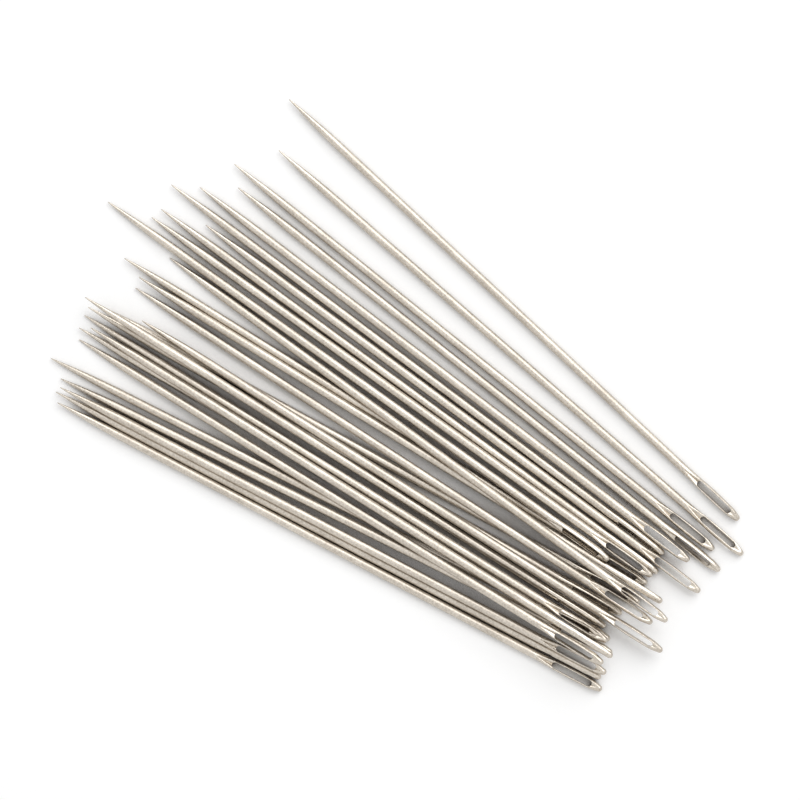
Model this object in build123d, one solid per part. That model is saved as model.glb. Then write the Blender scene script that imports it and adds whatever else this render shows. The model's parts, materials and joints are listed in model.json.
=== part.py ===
from build123d import *
import math
import os
import numpy as np

# A fanned set of long yarn needles as they lie on a table. Millimetres, +Z up from the table.
# +X runs with the fan, from the points to the eyes. The origin is on the table, under the set's middle.

# The needle
needle_length = 125.0
shaft_diameter = 1.75
point_length = 16.5
tip_diameter = 0.18
point_shares = (0, 0.22, 0.55, 1)
point_sides = 16
eye_width = 2.2
eye_thickness = 1.36
eye_edge_break = 0.25
shoulder_width = 2.0
nose_diameter = 1.36
nose_sides = 7
nose_bridge = 2.4
slot_length = 9.0
slot_width = 1.3
slot_end_share = 0.5
gutter_length = 3.9
gutter_depth = 0.5
nose_gutter_length = 1.25
nose_gutter_depth = 0.34
laid_gap = 0.03

# How the set lies, traced in the photograph: point, then eye end, in its pixels
needle_pixels = 616.0
fan_angle = 33.5
fan_middle_pixels = (400.0, 400.0)
# name, point x, y, eye x, y, roll about its own axis in degrees, layer that it was laid in
laid_pixels = (
    ("needle_01", 291, 101, 739, 520, 12, 1),
    ("needle_02", 283, 154, 743, 555, -15, 1),
    ("needle_03", 233, 163, 714, 550, -8, 2),
    ("needle_04", 236, 186, 720, 571, 35, 3),
    ("needle_05", 197, 185, 689, 561, 0, 2),
    ("needle_06", 177, 189, 664, 554, 62, 1),
    ("needle_07", 203, 223, 700, 592, 0, 2),
    ("needle_08", 165, 212, 658, 573, 88, 1),
    ("needle_09", 161, 224, 652, 576, 12, 2),
    ("needle_10", 115, 207, 609, 560, 45, 2),
    ("needle_11", 174, 261, 667, 621, 5, 3),
    ("needle_12", 116, 253, 647, 584, 30, 1),
    ("needle_13", 137, 276, 662, 602, 85, 1),
    ("needle_14", 137, 289, 652, 623, -15, 3),
    ("needle_15", 130, 313, 662, 651, 15, 4),
    ("needle_16", 100, 306, 640, 603, 20, 1),
    ("needle_17", 85, 297, 606, 627, 70, 2),
    ("needle_18", 86, 306, 622, 614, 45, 1),
    ("needle_19", 82, 314, 607, 641, 0, 2),
    ("needle_20", 80, 321, 612, 656, 88, 3),
    ("needle_21", 74, 325, 610, 640, 60, 1),
    ("needle_22", 73, 336, 603, 663, 20, 4),
    ("needle_23", 48, 357, 600, 637, 0, 1),
    ("needle_24", 57, 377, 612, 653, 15, 1),
    ("needle_25", 48, 381, 606, 673, 5, 2),
    ("needle_26", 50, 389, 601, 678, 85, 1),
    ("needle_27", 56, 402, 602, 690, 5, 2),
)
samples_along = 500
samples_across = 41

# Worked out from the sizes above
shaft_radius = shaft_diameter / 2
eye_reach = eye_width / 2
half_thick = eye_thickness / 2
shoulder = shoulder_width / 2
nose_radius = nose_diameter / 2
slot_end = needle_length - nose_bridge
slot_start = slot_end - slot_length
slot_middle = (slot_start + slot_end) / 2
eye_start = slot_start - gutter_length
# the point's corners follow an ogive that runs into the shaft
point_drop = shaft_radius - tip_diameter / 2
ogive_radius = (point_length ** 2 / point_drop + point_drop) / 2
point_stations = [(point_length * share, shaft_radius - ogive_radius
                   + math.sqrt(ogive_radius ** 2 - (point_length - point_length * share) ** 2))
                  for share in point_shares]
# the eye widens to the slot's middle and narrows to a nose of flat sides round a circle
nose_centre = needle_length - nose_radius
nose_turn = math.pi / nose_sides
nose_corner = nose_radius / math.cos(nose_turn / 2)
nose_corners = [(nose_centre + nose_corner * math.cos(nose_turn * k / 2), nose_corner * math.sin(nose_turn * k / 2))
                for k in range(nose_sides, 0, -2)]
eye_stations = [(eye_start, shaft_radius), (slot_start, shoulder), (slot_middle, eye_reach), (slot_end, shoulder),
                *nose_corners]
# where the press begins, its section is the octagon round the shaft
press_break = shaft_radius * (2 - math.sqrt(2))
millimetres_per_pixel = needle_length / needle_pixels


def flat_sided(sections):
    """A solid with flat sides between sections that have their corners in the same order."""
    faces = [Face(Wire.make_polygon(sections[0])), Face(Wire.make_polygon(sections[-1]))]
    for here, there in zip(sections, sections[1:]):
        for k in range(len(here)):
            corners = [here[k - 1], here[k], there[k], there[k - 1]]
            faces.append(Face(Wire.make_polygon(corners)))
    return Solid(Shell(faces))


def ring(x, corner):
    """The corners at x of a regular section, this far from the axis."""
    turns = [2 * math.pi * k / point_sides for k in range(point_sides)]
    return [(x, corner * math.cos(turn), corner * math.sin(turn)) for turn in turns]


def octagon(x, side, top, edge_break):
    """The corners at x of the pressed section, with its four edges broken."""
    quarter = [(side, top - edge_break), (side - edge_break, top)]
    half = quarter + [(-y, z) for y, z in reversed(quarter)]
    return [(x, y, z) for y, z in half + [(-y, -z) for y, z in half]]


def prism(upper):
    """The outline given on one side of the axis and mirrored, through the eye's whole thickness."""
    outline = [*upper, *[(x, -y) for x, y in reversed(upper)]]
    return extrude(make_face(Polyline(*outline, close=True)), half_thick, both=True)


def pressed_plate():
    """The eye from the slot on, with its rim broken."""
    plate = prism(eye_stations[1:])
    flats = plate.faces().sort_by(Axis.Z)
    rim = flats[0].edges().sort_by(Axis.X)[1:] + flats[-1].edges().sort_by(Axis.X)[1:]
    return chamfer(rim, eye_edge_break)


def blank():
    """The needle before its slot: ground point, round shaft, and the eye that the press makes of the rest."""
    point = flat_sided([ring(*station) for station in point_stations])
    shaft = Pos(point_length, 0, 0) * (Plane.YZ * extrude(Circle(shaft_radius), eye_start - point_length))
    neck = flat_sided([octagon(eye_start, shaft_radius, shaft_radius, press_break),
                       octagon(slot_start, shoulder, half_thick, eye_edge_break)])
    return shaft + point + neck + pressed_plate()


def gutter(open_x, open_z, point_x, point_z, depth):
    """A V-shaped groove: as wide as the slot where it opens into it, and nothing at its point."""
    rise = depth
    wide = slot_width / 2 * (depth + rise) / depth
    mouth = Wire.make_polygon([(open_x, -wide, open_z + rise), (open_x, wide, open_z + rise),
                               (open_x, 0, open_z - depth)])
    return Solid.make_loft([mouth, Vertex(point_x, 0, point_z)], ruled=True)


def needle():
    """One needle along +X from its point at the origin, with the flats of its eye up and down."""
    inner = slot_width / 2
    blunt = inner * slot_end_share
    slot = prism([(slot_start, blunt), (slot_start + inner, inner), (slot_end - inner, inner), (slot_end, blunt)])
    body = blank() - slot
    for groove in (gutter(slot_start + inner, half_thick, eye_start, shaft_radius, gutter_depth),
                   gutter(slot_end - inner, half_thick, slot_end + nose_gutter_length, half_thick,
                          nose_gutter_depth)):
        body = body - groove - mirror(groove, about=Plane.XY)
    return body


def rolled_top(y, top, roll, faces):
    """How high a section stands at y, when it is rolled and each face's turn and reach bound it both ways."""
    foot = -top
    for turn, reach in faces:
        sin, cos = math.sin(math.radians(roll + turn)), math.cos(math.radians(roll + turn))
        one_side, other_side = (y * sin - reach) / cos, (y * sin + reach) / cos
        foot = np.maximum(foot, np.minimum(one_side, other_side))
        top = np.minimum(top, np.maximum(one_side, other_side))
    return np.where(foot > top, -np.inf, top)


def top_over_axis(s, y, roll, grow=0):
    """How high the surface stands over the needle's axis, at distances s from its point and y beside it."""
    rod = np.interp(s, *zip(*point_stations)) + grow
    rod_top = np.where(np.abs(y) > rod, -np.inf, np.sqrt(np.maximum(rod ** 2 - y ** 2, 0)))
    side = np.interp(s, *zip(*eye_stations)) + grow
    thick = np.interp(s, (eye_start, slot_start), (shaft_radius, half_thick)) + grow
    edge_break = np.interp(s, (eye_start, slot_start), (press_break, eye_edge_break))
    broken = (side + thick - edge_break) / math.sqrt(2)
    faces = [(0, thick), (90, side), (45, broken), (-45, broken)]
    eye_top = rolled_top(y, np.full_like(y + s, eye_width), roll, faces)
    top = np.where(s < eye_start, rod_top, eye_top)
    return np.where((s < 0) | (s > needle_length), -np.inf, top)


def laid_line(s, needed):
    """The straight line over all the heights needed whose middle is lowest, as (height, slope) at s = 0."""
    balance = needle_length / 2
    before, after = s < balance, s > balance
    share = (balance - s[before, None]) / (s[None, after] - s[before, None])
    over = needed[before, None] + (needed[None, after] - needed[before, None]) * share
    a, b = np.unravel_index(np.argmax(over), over.shape)
    (sa, sb), (za, zb) = (s[before][a], s[after][b]), (needed[before][a], needed[after][b])
    slope = (zb - za) / (sb - sa)
    return za - slope * sa, slope


def lay_down():
    """Lays the needles one on another, each as low as what is under it lets it lie."""
    s = np.linspace(0, needle_length, samples_along)
    around = np.linspace(-math.pi / 2, math.pi / 2, samples_across)
    turn = math.radians(fan_angle)
    laid = []
    for name, px, py, ex, ey, roll, layer in sorted(laid_pixels, key=lambda row: row[-1]):
        across, down = ex - fan_middle_pixels[0], ey - fan_middle_pixels[1]
        eye_x = (across * math.cos(turn) + down * math.sin(turn)) * millimetres_per_pixel
        eye_y = (across * math.sin(turn) - down * math.cos(turn)) * millimetres_per_pixel
        heading = turn - math.atan2(ey - py, ex - px)
        cos, sin = math.cos(heading), math.sin(heading)
        point_x, point_y = eye_x - needle_length * cos, eye_y - needle_length * sin
        reach = np.interp(s, *zip(*point_stations))
        reach = np.where(s < eye_start, reach, np.hypot(np.interp(s, *zip(*eye_stations)), half_thick))
        y = reach[:, None] * np.sin(around)[None]
        x_here, y_here = point_x + s[:, None] * cos - y * sin, point_y + s[:, None] * sin + y * cos
        pile = np.zeros_like(y)
        for _, under_heading, under_roll, (ux, uy), (height, slope) in laid:
            c, n = math.cos(under_heading), math.sin(under_heading)
            under_s = (x_here - ux) * c + (y_here - uy) * n
            under_y = (y_here - uy) * c - (x_here - ux) * n
            top = height + slope * under_s + top_over_axis(under_s, under_y, under_roll, laid_gap)
            pile = np.maximum(pile, top)
        needed = (pile + top_over_axis(s[:, None], -y, roll)).max(axis=1)
        laid.append((name, heading, roll, (point_x, point_y), laid_line(s, needed)))
    return laid


def placed(one, heading, roll, point, line):
    """The needle moved to its laid line and rolled about it."""
    height, slope = line
    along = Vector(math.cos(heading), math.sin(heading), slope).normalized()
    side = Vector(-math.sin(heading), math.cos(heading), 0)
    up = along.cross(side) * math.cos(math.radians(roll)) - side * math.sin(math.radians(roll))
    return one.moved(Plane(origin=(*point, height), x_dir=along, z_dir=up).location)


one = needle()
parts = {name: placed(one, *place) for name, *place in lay_down()}
boxes = [part.bounding_box() for part in parts.values()]
low_x, high_x = min(box.min.X for box in boxes), max(box.max.X for box in boxes)
low_y, high_y = min(box.min.Y for box in boxes), max(box.max.Y for box in boxes)
to_origin = Location((-(low_x + high_x) / 2, -(low_y + high_y) / 2, 0))
os.makedirs("parts", exist_ok=True)
for name, part in parts.items():
    export_step(part.moved(to_origin), f"parts/{name}.step")
print("needles", len(parts), "each of", round(one.volume, 2), "mm3, moved by", to_origin.position)
print("set", round(high_x - low_x, 1), "by", round(high_y - low_y, 1), "by",
      round(max(box.max.Z for box in boxes), 2))
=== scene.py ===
import json
import math
import bmesh
import bpy
import numpy as np
from mathutils import Matrix, Vector


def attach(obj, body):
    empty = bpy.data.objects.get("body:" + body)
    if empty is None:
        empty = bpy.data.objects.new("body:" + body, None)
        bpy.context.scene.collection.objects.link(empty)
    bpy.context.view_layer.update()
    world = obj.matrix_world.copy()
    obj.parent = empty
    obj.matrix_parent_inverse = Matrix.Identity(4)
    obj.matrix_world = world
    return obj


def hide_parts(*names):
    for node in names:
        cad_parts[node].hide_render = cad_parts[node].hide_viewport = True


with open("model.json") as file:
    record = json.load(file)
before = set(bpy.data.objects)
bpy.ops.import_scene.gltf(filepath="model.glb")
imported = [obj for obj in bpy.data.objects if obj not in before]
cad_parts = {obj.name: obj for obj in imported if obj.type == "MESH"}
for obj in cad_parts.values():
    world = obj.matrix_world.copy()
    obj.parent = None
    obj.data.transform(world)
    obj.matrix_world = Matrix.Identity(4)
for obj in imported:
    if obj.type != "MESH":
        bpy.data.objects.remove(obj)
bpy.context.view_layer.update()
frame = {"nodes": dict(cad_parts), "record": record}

perMetre = 1000   # millimetres
white = (1, 1, 1, 1)


def selectNothing():
    if bpy.context.object and bpy.context.object.mode != "OBJECT":
        bpy.ops.object.mode_set(mode="OBJECT")
    bpy.ops.object.select_all(action="DESELECT")


def selectWhere(piece, test):
    # selects, in edit mode, the corners whose place passes the test
    mesh = bmesh.from_edit_mesh(piece.data)
    for corner in mesh.verts:
        corner.select_set(test(corner.co))
    mesh.select_flush_mode()
    bmesh.update_edit_mesh(piece.data)


# one needle, in millimetres, lying along X from its point, with the flats of its eye up and down
needleSizes = {
    "length": 125.0,
    "shaftRadius": 0.875,
    "shaftMiddle": 62,
    "pointLength": 16.5,
    "tipRadius": 0.09,
    "firstRadius": 0.0002,    # of the ring that the tip is drawn out from
    "sides": 64,
    "slotStart": 113.6,
    "slotEnd": 122.6,
    "slotHalfWidth": 0.65,
    "eyeStart": 109.7,
    "eyeRadius": 1.1,
    "shoulderRadius": 1.0,
    "shoulderFall": 1.8,      # how late the sides fall away from the slot's middle to the shoulder
    "noseRadius": 0.68,
    "noseFall": 1.25,         # and from the shoulder to the nose
    "halfThick": 0.68,
    "gutterLength": 3.9,
    "gutterDepth": 0.5,
    "noseGutterLength": 1.25,
    "noseGutterDepth": 0.34,
    "edgeRound": 0.07,
    "edgeShare": 0.3,         # the most of a narrow flat that a broken edge takes
    "flatPoints": 7,          # corners of a quarter of the eye's section before its round side
    "gatherLength": 5.0,      # over which the shaft's corners close up to where the eye has them
    "gatherRings": 10,
}

# where the needle's rings and the corners of the slot's edge lie, as shares of a stretch or degrees of arc
ringPlaces = {
    "tipTurns": (15, 45, 75),
    "pointShares": (0.03, 0.08, 0.15, 0.24, 0.34, 0.46, 0.58, 0.7, 0.82, 0.92, 1.0),
    "neckShares": (0.04, 0.12, 0.22, 0.34, 0.46, 0.58, 0.7, 0.82, 0.92),
    "slotStartTurns": (0, 16, 32, 48, 64, 78, 90),
    "slotShares": (0.12, 0.28, 0.45, 0.6, 0.75, 0.9),
    "slotEndTurns": (0, 14, 28, 44, 60, 76, 90),
    "bridgeShares": (0.14, 0.3, 0.46, 0.6, 0.71, 0.84),
    "noseTurns": (0, 20, 38, 54, 68, 80),
    "rimTurns": (0, 30, 60),
}

# how near counts as on a ring, in the slot or in one place, in millimetres
meshReach = {
    "ring": 0.0005,
    "slot": 0.001,
    "merge": 0.0004,
    "wall": 0.1,              # the slot's edges are higher than this, and its wall starts out this deep
    "smoothAngle": 30,        # degrees
}


def pointRings(sizes):
    # (x, radius) of each ring of the ground point, from the tip on
    shaft, tip, length = sizes["shaftRadius"], sizes["tipRadius"], sizes["pointLength"]
    drop = shaft - tip
    bow = (length ** 2 / drop + drop) / 2
    rings = []
    for turn in ringPlaces["tipTurns"]:
        lean = math.radians(turn)
        rings.append((tip * (1 - math.cos(lean)), tip * math.sin(lean)))
    for share in ringPlaces["pointShares"]:
        x = length * share
        rings.append((x, shaft - bow + math.sqrt(bow ** 2 - (length - x) ** 2)))
    return rings


def shaftSection(sizes, share):
    # a quarter of the round shaft, whose corners have gone this share of the way to the eye's
    count = sizes["sides"] // 4
    first = eyeSection(sizes, eyeRings(sizes)[0])
    points = []
    for step, (y, z) in enumerate(first):
        lean = (1 - share) * math.pi / 2 * step / count + share * math.atan2(y, z)
        points.append((sizes["shaftRadius"] * math.sin(lean), sizes["shaftRadius"] * math.cos(lean)))
    return points


def eyeRings(sizes):
    # the places along the needle at which the eye's section is shaped
    start, end, half = sizes["slotStart"], sizes["slotEnd"], sizes["slotHalfWidth"]
    nose = sizes["noseRadius"]
    ball = sizes["length"] - nose
    neck = start - sizes["eyeStart"]
    places = [sizes["eyeStart"] + neck * share for share in ringPlaces["neckShares"]]
    places += [start + half * (1 - math.cos(math.radians(turn))) for turn in ringPlaces["slotStartTurns"]]
    places += [start + half + (end - start - 2 * half) * share for share in ringPlaces["slotShares"]]
    places += [end - half * (1 - math.sin(math.radians(turn))) for turn in ringPlaces["slotEndTurns"]]
    places += [end + (ball - end) * share for share in ringPlaces["bridgeShares"]]
    places += [ball + nose * math.sin(math.radians(turn)) for turn in ringPlaces["noseTurns"]]
    return places


def sideRadius(sizes, x):
    # the radius of the eye's round sides at x, up to the nose's ball
    shaft, eye = sizes["shaftRadius"], sizes["eyeRadius"]
    shoulder, nose = sizes["shoulderRadius"], sizes["noseRadius"]
    end = sizes["slotEnd"]
    middle = (sizes["slotStart"] + end) / 2
    if x < middle:
        share = (x - sizes["eyeStart"]) / (middle - sizes["eyeStart"])
        return shaft + (eye - shaft) * share * share * (3 - 2 * share)
    if x < end:
        share = (x - middle) / (end - middle)
        return eye - (eye - shoulder) * share ** sizes["shoulderFall"]
    share = min(1, (x - end) / (sizes["length"] - nose - end))
    return shoulder - (shoulder - nose) * share ** sizes["noseFall"]


def eyeSection(sizes, x):
    # a quarter of the eye's section at x: points from the middle of the flat, or the slot, out to the side
    start, end, half = sizes["slotStart"], sizes["slotEnd"], sizes["slotHalfWidth"]
    ball = sizes["length"] - sizes["noseRadius"]
    radius = sideRadius(sizes, x)
    ramp = min(1, (x - sizes["eyeStart"]) / (start - sizes["eyeStart"]))
    thick = sizes["shaftRadius"] - (sizes["shaftRadius"] - sizes["halfThick"]) * ramp
    if x > ball:
        radius = thick = math.sqrt(max(0, sizes["noseRadius"] ** 2 - (x - ball) ** 2))
    flat = math.sqrt(max(0, radius ** 2 - thick ** 2))
    # how wide and deep the gutter is here, and how far the slot's edge stands off the middle
    fromMouth = max(start + half - x, x - (end - half), 0)
    kind = "gutter" if x < (start + end) / 2 else "noseGutter"
    left = max(0, 1 - fromMouth / (sizes[kind + "Length"] + half))
    width = half * left
    depth = sizes[kind + "Depth"] * left
    inner = math.sqrt(max(0, half ** 2 - fromMouth ** 2))
    rim = min(sizes["edgeRound"], (flat - width) * sizes["edgeShare"])
    points = []
    if fromMouth > 0:
        soft = min(rim, (width - inner) * sizes["edgeShare"])
        for y in (inner, (inner + width - soft) / 2, width - soft):
            points.append((y, thick - (depth * (1 - y / width) if width > 0 else 0)))
    else:
        for turn in ringPlaces["rimTurns"]:
            lean = math.radians(turn)
            points.append((half + rim * (1 - math.cos(lean)), thick - rim * (1 - math.sin(lean))))
    points.append((width + rim, thick))
    points.append(((width + flat) / 2, thick))
    points.append((flat - rim, thick))
    first = math.atan2(flat, thick) + rim / radius
    last = sizes["sides"] // 4 - sizes["flatPoints"]
    leans = [first + (math.pi / 2 - first) * step / last for step in range(last + 1)]
    side = [(radius * math.sin(lean), radius * math.cos(lean)) for lean in leans]
    points.append(((flat * 2 + flat - rim + side[0][0]) / 4, (thick * 3 + side[0][1]) / 4))
    return points + side


def ringInOrder(needle):
    # the selected ring's corners, from the top or the slot to the side
    ring = [corner for corner in bmesh.from_edit_mesh(needle.data).verts if corner.select]
    order = [min(ring, key=lambda corner: corner.co.z)]
    while len(order) < len(ring):
        beside = [edge.other_vert(order[-1]) for edge in order[-1].link_edges]
        order.append(next(corner for corner in beside if corner.select and corner not in order))
    return order[::-1]


def shapeRing(needle, x, points):
    # puts the corners of the ring at x on the section's points
    corners = ringInOrder(needle)
    moves = [(corner.index, Vector((x, *point)) - corner.co) for corner, point in zip(corners, points)]
    for number, move in moves:
        bpy.ops.mesh.select_all(action="DESELECT")
        mesh = bmesh.from_edit_mesh(needle.data)
        mesh.verts.ensure_lookup_table()
        mesh.verts[number].select_set(True)
        mesh.select_flush_mode()
        bpy.ops.transform.translate(value=move)
    selectWhere(needle, lambda co: abs(co.x - x) < meshReach["ring"])


def nextRing(x, fromX):
    bpy.ops.mesh.extrude_region_move(TRANSFORM_OT_translate={"value": (x - fromX, 0, 0)})


def quarterRing(sizes):
    # the upper right quarter of a tiny ring, open in edit mode, to draw the needle out from
    selectNothing()
    radius = sizes["firstRadius"]
    bpy.ops.mesh.primitive_circle_add(vertices=sizes["sides"], radius=radius, location=(0, 0, 0),
                                      rotation=(0, math.pi / 2, 0))
    needle = bpy.context.object
    bpy.ops.object.transform_apply(location=True, rotation=True, scale=True)
    bpy.ops.object.mode_set(mode="EDIT")
    bpy.ops.mesh.select_mode(type="VERT")
    selectWhere(needle, lambda co: co.y < -radius / 100 or co.z < -radius / 100)
    bpy.ops.mesh.delete(type="VERT")
    bpy.ops.mesh.select_all(action="SELECT")
    return needle


def drawNeedle(needle, sizes):
    # ring by ring: the point and the shaft, the stretch that gathers to the eye, the eye and the nose
    shaft, gatherRings = sizes["shaftRadius"], sizes["gatherRings"]
    gather = sizes["eyeStart"] - sizes["gatherLength"]
    x, radius = 0, sizes["firstRadius"]
    for nextX, nextRadius in pointRings(sizes) + [(sizes["shaftMiddle"], shaft), (gather, shaft)]:
        nextRing(nextX, x)
        wider = nextRadius / radius
        bpy.ops.transform.resize(value=(1, wider, wider), center_override=(nextX, 0, 0))
        x, radius = nextX, nextRadius
    for step in range(1, gatherRings + 1):
        nextX = gather + sizes["gatherLength"] * step / gatherRings
        nextRing(nextX, x)
        shapeRing(needle, nextX, shaftSection(sizes, step / gatherRings))
        x = nextX
    for nextX in eyeRings(sizes):
        nextRing(nextX, x)
        shapeRing(needle, nextX, eyeSection(sizes, nextX))
        x = nextX
    nextRing(sizes["length"], x)
    bpy.ops.transform.resize(value=(1, 0, 0), center_override=(x, 0, 0))


def slotWall(needle, sizes):
    # the open edge round the slot is drawn down to the needle's middle plane
    bpy.ops.mesh.select_all(action="DESELECT")
    bpy.ops.mesh.select_mode(type="EDGE")
    start, end = sizes["slotStart"] - meshReach["slot"], sizes["slotEnd"] + meshReach["slot"]
    for edge in bmesh.from_edit_mesh(needle.data).edges:
        inSlot = all(start < corner.co.x < end and corner.co.z > meshReach["wall"] for corner in edge.verts)
        edge.select_set(edge.is_boundary and inSlot)
    bmesh.update_edit_mesh(needle.data)
    bpy.ops.mesh.extrude_region_move(TRANSFORM_OT_translate={"value": (0, 0, -meshReach["wall"])})
    bpy.ops.transform.resize(value=(1, 1, 0), center_override=(0, 0, 0))


def masterNeedle(sizes):
    needle = quarterRing(sizes)
    drawNeedle(needle, sizes)
    slotWall(needle, sizes)
    bpy.ops.object.mode_set(mode="OBJECT")
    mirror = needle.modifiers.new("mirror", "MIRROR")
    mirror.use_axis = (False, True, True)
    mirror.merge_threshold = meshReach["merge"]
    bpy.ops.object.modifier_apply(modifier=mirror.name)
    bpy.ops.object.mode_set(mode="EDIT")
    bpy.ops.mesh.select_all(action="SELECT")
    bpy.ops.mesh.remove_doubles(threshold=meshReach["merge"])
    bpy.ops.mesh.normals_make_consistent(inside=False)
    bpy.ops.object.mode_set(mode="OBJECT")
    bpy.ops.object.shade_smooth_by_angle(angle=math.radians(meshReach["smoothAngle"]))
    return needle


# how a packed needle's place is read, in metres
placeReach = {
    "digits": 7,              # corners alike to this many places are one
    "tip": 0.0003,            # corners this near the foremost one make up the tip
    "nose": 0.00002,          # corners this near the far end make up the nose
    "rounds": 4,              # of finding the nose along the needle's own line
    "slotZone": (0.112, 0.124),   # how far from the tip the slot's faces are looked for
}


def needlePlace(name, reaches):
    # the matrix that brings the master needle, in millimetres, to where the CAD node lies
    mesh = frame["nodes"][name].data
    points = np.array([corner.co for corner in mesh.vertices])
    points = np.unique(np.round(points, reaches["digits"]), axis=0)
    tip = points[points[:, 0].argmin()]
    tip = points[np.linalg.norm(points - tip, axis=1) < reaches["tip"]].mean(axis=0)
    along = points[points[:, 0].argmax()] - tip
    for _ in range(reaches["rounds"]):
        along /= np.linalg.norm(along)
        reach = (points - tip) @ along
        along = points[reach > reach.max() - reaches["nose"]].mean(axis=0) - tip
    along = Vector(along).normalized()
    tip = Vector(tip)
    # the slot's long walls face sideways
    slotStart, slotEnd = reaches["slotZone"]
    inSlot = [face for face in mesh.polygons if slotStart < (face.center - tip).dot(along) < slotEnd]
    side = max(inSlot, key=lambda face: face.area).normal
    side = (side - along * side.dot(along)).normalized()
    up = along.cross(side)
    turn = Matrix((along, side, up)).transposed().to_4x4()
    return Matrix.Translation(tip) @ turn @ Matrix.Scale(1 / perMetre, 4)


def node(tree, kind, place, **values):
    made = tree.nodes.new(kind)
    made.location = place
    for name, value in values.items():
        setattr(made, name, value)
    return made


def noise(tree, place, scale, detail):
    made = node(tree, "ShaderNodeTexNoise", place)
    made.inputs["Scale"].default_value = scale
    made.inputs["Detail"].default_value = detail
    return made


def mapRange(tree, place, least, most, side="To"):
    made = node(tree, "ShaderNodeMapRange", place)
    made.inputs[side + " Min"].default_value = least
    made.inputs[side + " Max"].default_value = most
    return made


def colourRamp(tree, place, stops):
    # a new ramp has two stops, so the others are added
    made = node(tree, "ShaderNodeValToRGB", place)
    for number, (position, colour) in enumerate(stops):
        elements = made.color_ramp.elements
        stop = elements[number] if number < 2 else elements.new(position)
        stop.position = position
        stop.color = colour
    return made


# nickel-plated steel, with its patterns measured in millimetres on the needle
steelSettings = {
    "drawnStretch": (0.05, 5.0, 5.0),
    "drawnScale": 1.6,
    "drawnDetail": 4.0,
    "grainScale": 3.0,
    "grainDetail": 4.0,
    "toneScale": 0.12,
    "toneDetail": 2.0,
    "toneShare": 0.5,
    "grainShare": 0.52,
    "tones": ((0.38, (0.425, 0.378, 0.32, 1)), (0.62, (0.70, 0.645, 0.57, 1))),
    "satin": ((0.02, 0), (0.12, 1), (0.865, 1), (0.89, 0)),   # 1 is the shaft's, by share of the length
    "roughness": (0.34, 0.50),
    "polish": (-0.2, 0.0),    # added to the roughness, at the point and the eye and then on the shaft
    "bumpStrength": (0.05, 0.30),   # at the point and the eye, and on the shaft
    "bumpDistance": 0.00005,  # metres
    "patternShift": (0, 7.0, 3.0),   # from one needle's pattern to the next one's
}


def needleSteel(settings):
    steel = bpy.data.materials.new("needleSteel")
    steel.use_nodes = True
    tree = steel.node_tree
    shader = tree.nodes["Principled BSDF"]
    shader.inputs["Metallic"].default_value = 1.0
    place = node(tree, "ShaderNodeAttribute", (-1300, 0), attribute_name="needlePlace")
    # faint lines left by drawing the wire
    drawn = node(tree, "ShaderNodeMapping", (-1100, 200))
    drawn.inputs["Scale"].default_value = settings["drawnStretch"]
    lines = noise(tree, (-900, 200), settings["drawnScale"], settings["drawnDetail"])
    # the plating's grain, and its slow change of tone along the wire
    grain = noise(tree, (-900, -60), settings["grainScale"], settings["grainDetail"])
    tone = noise(tree, (-900, -320), settings["toneScale"], settings["toneDetail"])
    blend = node(tree, "ShaderNodeMix", (-780, 60), data_type="FLOAT")
    blend.inputs["Factor"].default_value = settings["toneShare"]
    speckle = node(tree, "ShaderNodeMix", (-690, 0), data_type="FLOAT")
    speckle.inputs["Factor"].default_value = settings["grainShare"]
    colour = colourRamp(tree, (-600, 120), settings["tones"])
    # the point and the eye are smoother than the shaft
    along = node(tree, "ShaderNodeSeparateXYZ", (-1100, -520))
    share = node(tree, "ShaderNodeMath", (-980, -520), operation="DIVIDE")
    share.inputs[1].default_value = needleSizes["length"]
    stops = [(position, (amount, amount, amount, 1)) for position, amount in settings["satin"]]
    satin = colourRamp(tree, (-880, -520), stops)
    rough = mapRange(tree, (-600, -200), *settings["roughness"])
    polish = mapRange(tree, (-400, -200), *settings["polish"])
    finish = node(tree, "ShaderNodeMath", (-250, -200), operation="ADD")
    height = mapRange(tree, (-600, -520), *settings["bumpStrength"])
    bump = node(tree, "ShaderNodeBump", (-400, -400))
    bump.inputs["Distance"].default_value = settings["bumpDistance"]
    link = tree.links.new
    link(place.outputs["Vector"], drawn.inputs["Vector"])
    link(drawn.outputs["Vector"], lines.inputs["Vector"])
    link(place.outputs["Vector"], grain.inputs["Vector"])
    link(place.outputs["Vector"], tone.inputs["Vector"])
    link(lines.outputs["Fac"], blend.inputs["A"])
    link(tone.outputs["Fac"], blend.inputs["B"])
    link(blend.outputs["Result"], speckle.inputs["A"])
    link(grain.outputs["Fac"], speckle.inputs["B"])
    link(speckle.outputs["Result"], colour.inputs["Fac"])
    link(colour.outputs["Color"], shader.inputs["Base Color"])
    link(grain.outputs["Fac"], rough.inputs["Value"])
    link(place.outputs["Vector"], along.inputs["Vector"])
    link(along.outputs["X"], share.inputs[0])
    link(share.outputs["Value"], satin.inputs["Fac"])
    link(satin.outputs["Color"], polish.inputs["Value"])
    link(satin.outputs["Color"], height.inputs["Value"])
    link(rough.outputs["Result"], finish.inputs[0])
    link(polish.outputs["Result"], finish.inputs[1])
    link(finish.outputs["Value"], shader.inputs["Roughness"])
    link(height.outputs["Result"], bump.inputs["Strength"])
    link(grain.outputs["Fac"], bump.inputs["Height"])
    link(bump.outputs["Normal"], shader.inputs["Normal"])
    return steel


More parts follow.
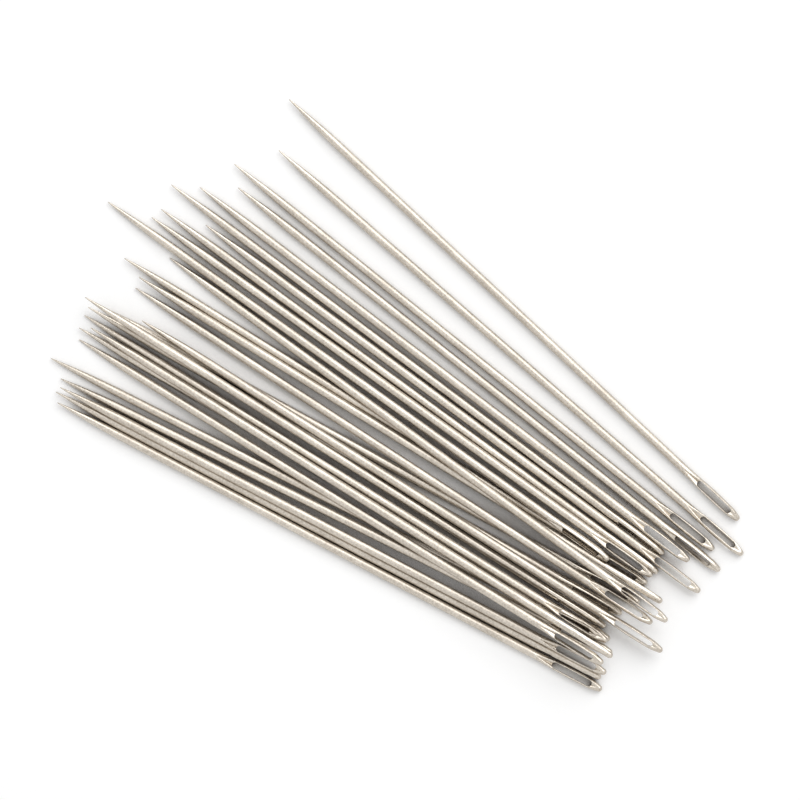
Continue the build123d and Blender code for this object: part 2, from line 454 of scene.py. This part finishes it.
def layNeedles(master, steel, shift):
    bodies = frame["record"]["behaviour"]["bodies"]
    bodyOf = {name: body for body, names in bodies.items() for name in names}
    local = np.array([corner.co for corner in master.data.vertices])
    for count, name in enumerate(sorted(bodyOf)):
        mesh = master.data.copy()
        needle = bpy.data.objects.new(name.replace("needle_", "yarnNeedle_"), mesh)
        bpy.context.collection.objects.link(needle)
        # the pattern's own place on this needle, so that it runs along the wire and isn't its neighbour's
        place = mesh.attributes.new("needlePlace", "FLOAT_VECTOR", "POINT")
        place.data.foreach_set("vector", (local + [step * count for step in shift]).ravel())
        mesh.transform(needlePlace(name, placeReach))
        mesh.materials.clear()
        mesh.materials.append(steel)
        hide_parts(name)
        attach(needle, bodyOf[name])
    bpy.data.objects.remove(master)
    print("laid", len(bodyOf), "needles of", len(mesh.polygons), "faces each")


def seenRays(tree, place):
    # 1 for what the eye sees, straight on or in metal or glass, and 0 for the light that falls on the needles
    rays = node(tree, "ShaderNodeLightPath", place)
    seen = rays.outputs["Is Camera Ray"]
    for count, kind in enumerate(("Is Glossy Ray", "Is Transmission Ray")):
        either = node(tree, "ShaderNodeMath", (place[0] + 180 * (count + 1), place[1]), operation="MAXIMUM")
        tree.links.new(seen, either.inputs[0])
        tree.links.new(rays.outputs[kind], either.inputs[1])
        seen = either.outputs["Value"]
    return seen


# lengths in metres
floorSettings = {
    "size": 6,
    "colour": 0.5,            # as it lights the needles from below
    "seenColour": 1.06,       # as the eye and the steel see it
    "gapReach": 0.0010,       # how far apart needles may be for the floor between them to get painted shade
    "gapShades": (0.25, 0.54),   # how open it is where it is darkest, and where it is clear
    "wellReach": 0.006,       # the same for painted shade in a deep gap under several needles
    "wellShades": (0.14, 0.50),
    "shadeRays": 8,
    # the colour of the painted shade in the gaps
    "gapShadeColour": (0.10, 0.076, 0.058, 1),
}


def studioFloor(settings):
    selectNothing()
    bpy.ops.mesh.primitive_plane_add(size=settings["size"], location=(0, 0, 0))
    floor = bpy.context.object
    floor.name = "floor"
    paper = bpy.data.materials.new("whiteFloor")
    paper.use_nodes = True
    tree = paper.node_tree
    tree.nodes.remove(tree.nodes["Principled BSDF"])
    output = tree.nodes["Material Output"]
    matt = node(tree, "ShaderNodeBsdfDiffuse", (-200, 0))
    link = tree.links.new
    # the paper is seen as white, by the eye and in the steel
    seen = seenRays(tree, (-1400, -100))
    level = mapRange(tree, (-800, -100), settings["colour"], settings["seenColour"])
    link(seen, level.inputs["Value"])
    # painted shade: it is seen to go dark where needles close it in from both sides, by the eye and in the
    # steel
    openness = node(tree, "ShaderNodeMath", (-600, 250), operation="MULTIPLY")
    for count, kind in enumerate(("gap", "well")):
        hollow = node(tree, "ShaderNodeAmbientOcclusion", (-1200, 200 + 250 * count),
                      samples=settings["shadeRays"])
        hollow.inputs["Distance"].default_value = settings[kind + "Reach"]
        clear = mapRange(tree, (-900, 200 + 250 * count), *settings[kind + "Shades"], side="From")
        link(hollow.outputs["AO"], clear.inputs["Value"])
        link(clear.outputs["Result"], openness.inputs[count])
    # painted shade: the gap colour where the floor is closed in, white where it is clear
    paintedGapShade = node(tree, "ShaderNodeMix", (-400, 250), data_type="RGBA")
    paintedGapShade.inputs["A"].default_value = settings["gapShadeColour"]
    paintedGapShade.inputs["B"].default_value = white
    shown = node(tree, "ShaderNodeMix", (-400, -50), data_type="RGBA")
    shown.inputs["A"].default_value = white
    colour = node(tree, "ShaderNodeMix", (-200, 0), data_type="RGBA", blend_type="MULTIPLY")
    colour.inputs["Factor"].default_value = 1.0
    link(openness.outputs["Value"], paintedGapShade.inputs["Factor"])
    link(seen, shown.inputs["Factor"])
    link(paintedGapShade.outputs["Result"], shown.inputs["B"])
    link(level.outputs["Result"], colour.inputs["A"])
    link(shown.outputs["Result"], colour.inputs["B"])
    link(colour.outputs["Result"], matt.inputs["Color"])
    link(matt.outputs["BSDF"], output.inputs["Surface"])
    floor.data.materials.append(paper)


# sizes and places in metres
lightSettings = {
    "worldStrength": 0.66,
    "seenWorldStrength": 1.0,   # as the eye and the steel see it
    "keyPower": 12.0,
    "keySize": 1.3,
    "keyPlace": (0.1, 1.1, 1.15),
    "topPower": 2.0,
    "topSize": 2.4,
    "topPlace": (0.0, 0.1, 1.9),
}


def studioLight(settings):
    world = bpy.data.worlds.new("studio")
    bpy.context.scene.world = world
    world.use_nodes = True
    tree = world.node_tree
    back = tree.nodes["Background"]
    back.inputs["Color"].default_value = white
    level = mapRange(tree, (-250, 0), settings["worldStrength"], settings["seenWorldStrength"])
    tree.links.new(seenRays(tree, (-900, 0)), level.inputs["Value"])
    tree.links.new(level.outputs["Result"], back.inputs["Strength"])
    for name in ("key", "top"):
        bpy.ops.object.light_add(type="AREA", location=settings[name + "Place"])
        lamp = bpy.context.object
        lamp.name = name + "Lamp"
        lamp.data.size = settings[name + "Size"]
        lamp.data.energy = settings[name + "Power"]
        lamp.rotation_euler = Vector(settings[name + "Place"]).to_track_quat("Z", "Y").to_euler()


cameraSettings = {
    "framePixels": 800,
    "needlePixels": 616.0,    # the needle's length in the photograph
    "fanAngle": 33.5,
    "fanMiddle": (-1.898, 0.184),   # where the photograph's middle falls on the table, in millimetres
    "height": 1.3,            # metres
    "focusPlane": 1.5,        # above the table, in millimetres, where the scale is measured
    "sensor": 36.0,
}


def photoCamera(settings):
    # looks straight down, turned as the fan is
    wide = settings["framePixels"] / settings["needlePixels"] * needleSizes["length"] / perMetre
    middle = [value / perMetre for value in settings["fanMiddle"]]
    away = settings["height"] - settings["focusPlane"] / perMetre
    bpy.ops.object.camera_add(location=(middle[0], middle[1], settings["height"]),
                              rotation=(0, 0, math.radians(settings["fanAngle"])))
    camera = bpy.context.object
    camera.data.sensor_width = settings["sensor"]
    camera.data.lens = settings["sensor"] * away / wide
    bpy.context.scene.camera = camera


print("modelling the needle")
master = masterNeedle(needleSizes)
print("laying the needles where the frame has them")
layNeedles(master, needleSteel(steelSettings), steelSettings["patternShift"])
print("setting the studio")
studioFloor(floorSettings)
studioLight(lightSettings)
photoCamera(cameraSettings)
bpy.context.scene.view_settings.view_transform = "Standard"
